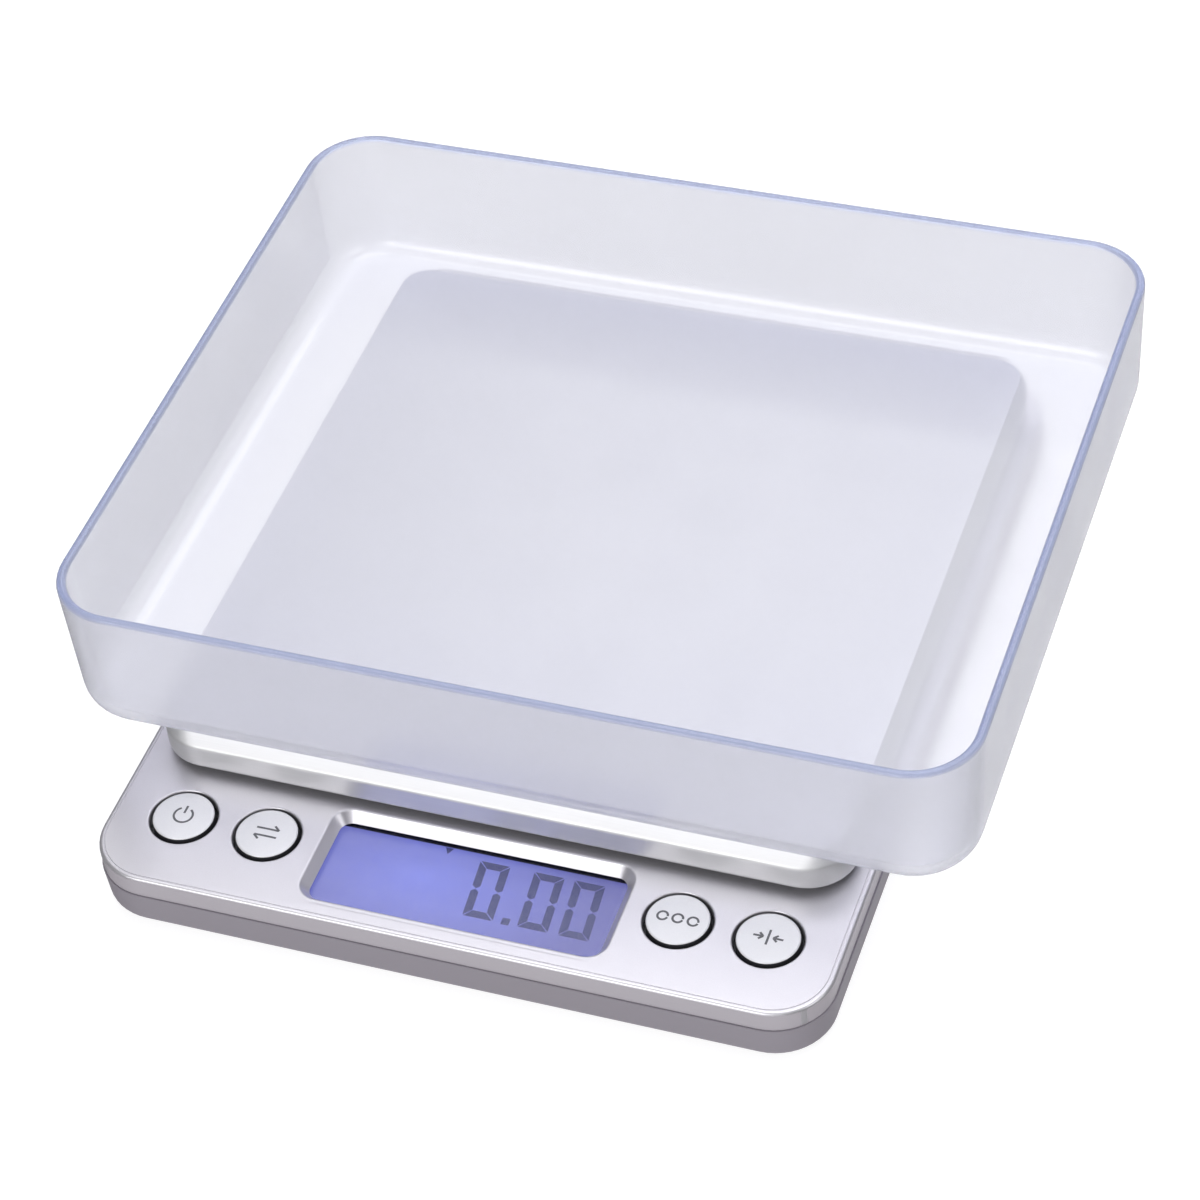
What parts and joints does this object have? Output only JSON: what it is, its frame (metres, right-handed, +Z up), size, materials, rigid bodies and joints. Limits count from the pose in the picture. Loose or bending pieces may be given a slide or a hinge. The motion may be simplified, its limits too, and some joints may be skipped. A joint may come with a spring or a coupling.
{
  "type": "kitchen scale",
  "caption": "Compact flat kitchen scale with a lit display, round buttons on its front strip, a chamfered silver platform and a loose clear tray.",
  "frame": {"origin": "on the surface the scale stands on, below the middle of the whole object with its tray", "axes": "+X to the right as seen from the display side, along the tray's long side; +Y from the display to the back; +Z up"},
  "size_m": [0.1316, 0.1284, 0.0409],
  "materials": {
    "face_paint": "satin silver paint on moulded ABS",
    "grey_abs": "moulded ABS, fine texture",
    "plate_metal": "satin silver",
    "dark_abs": "moulded ABS",
    "clear_plastic": "clear moulded polystyrene, gloss",
    "window_acrylic": "clear acrylic, gloss",
    "lcd_glass": "polarised display glass",
    "light_guide": "milky light guide",
    "cap_plastic": "satin",
    "circuit_board": "green solder mask on glass epoxy",
    "aluminium": "milled",
    "steel": "zinc plated",
    "nickel": "nickel plated spring steel",
    "rubber": "matte",
    "silicone": "matte",
    "battery_sleeve": "plain printed sleeve",
    "wire_grey": "PVC",
    "wire_red": "PVC",
    "wire_black": "PVC"
  },
  "bodies": {
    "base": {"backlight_panel": "light_guide", "battery_1": "battery_sleeve", "battery_2": "battery_sleeve", "battery_lead_negative": "wire_black", "battery_lead_positive": "wire_red", "bottom_housing": "grey_abs", "contact_bridge": "nickel", "contact_plate_negative": "nickel", "contact_plate_positive": "nickel", "contact_spring_1": "nickel", "contact_spring_2": "nickel", "display_window": "window_acrylic", "foot_1": "rubber", "foot_2": "rubber", "foot_3": "rubber", "foot_4": "rubber", "gauge_sealant": "silicone", "housing_screw_1": "steel", "housing_screw_2": "steel", "housing_screw_3": "steel", "housing_screw_4": "steel", "lcd_frame": "dark_abs", "lcd_panel": "lcd_glass", "load_cell": "aluminium", "load_cell_screw_1": "steel", "load_cell_screw_2": "steel", "load_cell_wires": "wire_grey", "main_board": "circuit_board", "switch_count": "steel", "switch_mode": "steel", "switch_power": "steel", "switch_tare": "steel", "top_housing": "face_paint", "zebra_strip": "rubber"},
    "platform": {"platform_plate": "plate_metal", "platform_carrier": "dark_abs", "carrier_screw_1": "steel", "carrier_screw_2": "steel"},
    "tray": {"tray": "clear_plastic"},
    "battery_door": {"battery_door": "grey_abs"},
    "power_button": {"button_power": "cap_plastic", "plunger_power": "dark_abs"},
    "mode_button": {"button_mode": "cap_plastic", "plunger_mode": "dark_abs"},
    "count_button": {"button_count": "cap_plastic", "plunger_count": "dark_abs"},
    "tare_button": {"button_tare": "cap_plastic", "plunger_tare": "dark_abs"}
  },
  "joints": [
    {"name": "platform_travel", "type": "slide", "parent": "base", "child": "platform", "axis": [0, 0, -1], "range_m": [0, 0.00045], "stiffness_N_per_m": 70000, "deforming": ["load_cell"]},
    {"name": "tray_lift", "type": "slide", "parent": "platform", "child": "tray", "axis": [0, 0, 1], "range_m": [0, 0.06]},
    {"name": "battery_door_hinge", "type": "hinge", "parent": "base", "child": "battery_door", "pos_m": [-0.003, 0.02905, 0.0012], "axis": [-1, 0, 0], "range_deg": [0, 100]},
    {"name": "power_press", "type": "slide", "parent": "base", "child": "power_button", "axis": [0, 0, -1], "range_m": [0, 0.0005], "stiffness_N_per_m": 400},
    {"name": "mode_press", "type": "slide", "parent": "base", "child": "mode_button", "axis": [0, 0, -1], "range_m": [0, 0.0005], "stiffness_N_per_m": 400},
    {"name": "count_press", "type": "slide", "parent": "base", "child": "count_button", "axis": [0, 0, -1], "range_m": [0, 0.0005], "stiffness_N_per_m": 400},
    {"name": "tare_press", "type": "slide", "parent": "base", "child": "tare_button", "axis": [0, 0, -1], "range_m": [0, 0.0005], "stiffness_N_per_m": 400}
  ]
}
